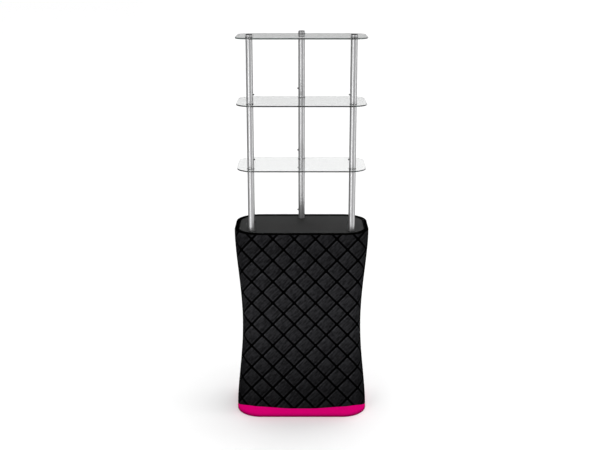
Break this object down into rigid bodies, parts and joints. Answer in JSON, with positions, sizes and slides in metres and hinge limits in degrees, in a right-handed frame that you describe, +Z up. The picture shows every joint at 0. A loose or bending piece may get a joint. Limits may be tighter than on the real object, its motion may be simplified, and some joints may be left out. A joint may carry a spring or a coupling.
{
  "type": "exhibition podium",
  "caption": "Free-standing display podium: a waisted stretch-fabric counter with clear glass shelves above it on slim snap-together metal posts.",
  "frame": {"origin": "centre of the base board's underside, on the floor", "axes": "+Z up; -Y is the front, which visitors face; +X is to the right seen from the front"},
  "size_m": [0.664, 0.3956, 1.9182],
  "materials": {
    "stretch_fabric": "matte printed stretch fabric",
    "hook_tape": "matte",
    "zip_tape": "woven nylon",
    "zip_metal": "black lacquer",
    "board": "matte dark grey laminate",
    "plated_steel": "zinc plated",
    "anodised_tube": "satin anodised",
    "spring_clip": "blackened spring steel",
    "shelf_glass": "clear, polished edges",
    "grommet_rubber": "matte",
    "cap_plastic": "satin black"
  },
  "bodies": {
    "podium": {"fabric_cover": "stretch_fabric", "top_hook_strip": "hook_tape", "base_hook_strip": "hook_tape", "zip_tape": "zip_tape", "top_board": "board", "base_board": "board", "base_socket_left": "plated_steel", "base_socket_right": "plated_steel", "base_socket_rear": "plated_steel", "pole_left": "anodised_tube", "pole_right": "anodised_tube", "pole_rear": "anodised_tube", "post_lower_left": "anodised_tube", "post_lower_right": "anodised_tube", "post_lower_rear": "anodised_tube", "post_middle_left": "anodised_tube", "post_middle_right": "anodised_tube", "post_middle_rear": "anodised_tube", "post_upper_left": "anodised_tube", "post_upper_right": "anodised_tube", "post_upper_rear": "anodised_tube", "spigot_lower_left": "plated_steel", "spigot_lower_right": "plated_steel", "spigot_lower_rear": "plated_steel", "spigot_middle_left": "plated_steel", "spigot_middle_right": "plated_steel", "spigot_middle_rear": "plated_steel", "spigot_upper_left": "plated_steel", "spigot_upper_right": "plated_steel", "spigot_upper_rear": "plated_steel", "shelf_lower": "shelf_glass", "shelf_middle": "shelf_glass", "shelf_upper": "shelf_glass", "grommet_lower_left": "grommet_rubber", "grommet_lower_right": "grommet_rubber", "grommet_lower_rear": "grommet_rubber", "grommet_middle_left": "grommet_rubber", "grommet_middle_right": "grommet_rubber", "grommet_middle_rear": "grommet_rubber", "grommet_upper_left": "grommet_rubber", "grommet_upper_right": "grommet_rubber", "grommet_upper_rear": "grommet_rubber", "cap_collar_left": "anodised_tube", "cap_collar_right": "anodised_tube", "cap_collar_rear": "anodised_tube", "cap_plug_left": "cap_plastic", "cap_plug_right": "cap_plastic", "cap_plug_rear": "cap_plastic"},
    "snap_lower_left": {"clip_lower_left": "spring_clip"},
    "snap_lower_right": {"clip_lower_right": "spring_clip"},
    "snap_lower_rear": {"clip_lower_rear": "spring_clip"},
    "snap_middle_left": {"clip_middle_left": "spring_clip"},
    "snap_middle_right": {"clip_middle_right": "spring_clip"},
    "snap_middle_rear": {"clip_middle_rear": "spring_clip"},
    "snap_upper_left": {"clip_upper_left": "spring_clip"},
    "snap_upper_right": {"clip_upper_right": "spring_clip"},
    "snap_upper_rear": {"clip_upper_rear": "spring_clip"},
    "slider": {"zip_slider": "zip_metal"},
    "pull": {"zip_pull": "zip_metal"}
  },
  "joints": [
    {"name": "press_lower_left", "type": "hinge", "parent": "podium", "child": "snap_lower_left", "pos_m": [-0.23459, -0.1138, 0.9748], "axis": [0, -1, 0], "range_deg": [0, 10], "stiffness_Nm_per_rad": 2},
    {"name": "press_lower_right", "type": "hinge", "parent": "podium", "child": "snap_lower_right", "pos_m": [0.23459, -0.1138, 0.9748], "axis": [0, 1, 0], "range_deg": [0, 10], "stiffness_Nm_per_rad": 2},
    {"name": "press_lower_rear", "type": "hinge", "parent": "podium", "child": "snap_lower_rear", "pos_m": [-0.01081, 0.1295, 0.9748], "axis": [0, 1, 0], "range_deg": [0, 10], "stiffness_Nm_per_rad": 2},
    {"name": "press_middle_left", "type": "hinge", "parent": "podium", "child": "snap_middle_left", "pos_m": [-0.23459, -0.1138, 1.2868], "axis": [0, -1, 0], "range_deg": [0, 10], "stiffness_Nm_per_rad": 2},
    {"name": "press_middle_right", "type": "hinge", "parent": "podium", "child": "snap_middle_right", "pos_m": [0.23459, -0.1138, 1.2868], "axis": [0, 1, 0], "range_deg": [0, 10], "stiffness_Nm_per_rad": 2},
    {"name": "press_middle_rear", "type": "hinge", "parent": "podium", "child": "snap_middle_rear", "pos_m": [-0.01081, 0.1295, 1.2868], "axis": [0, 1, 0], "range_deg": [0, 10], "stiffness_Nm_per_rad": 2},
    {"name": "press_upper_left", "type": "hinge", "parent": "podium", "child": "snap_upper_left", "pos_m": [-0.23459, -0.1138, 1.5988], "axis": [0, -1, 0], "range_deg": [0, 10], "stiffness_Nm_per_rad": 2},
    {"name": "press_upper_right", "type": "hinge", "parent": "podium", "child": "snap_upper_right", "pos_m": [0.23459, -0.1138, 1.5988], "axis": [0, 1, 0], "range_deg": [0, 10], "stiffness_Nm_per_rad": 2},
    {"name": "press_upper_rear", "type": "hinge", "parent": "podium", "child": "snap_upper_rear", "pos_m": [-0.01081, 0.1295, 1.5988], "axis": [0, 1, 0], "range_deg": [0, 10], "stiffness_Nm_per_rad": 2},
    {"name": "zip_slide", "type": "slide", "parent": "podium", "child": "slider", "axis": [0, 0, 1], "range_m": [-0.8, 0]},
    {"name": "pull_swing", "type": "hinge", "parent": "slider", "child": "pull", "pos_m": [0, 0.1998, 0.8805], "axis": [1, 0, 0], "range_deg": [0, 170]}
  ]
}
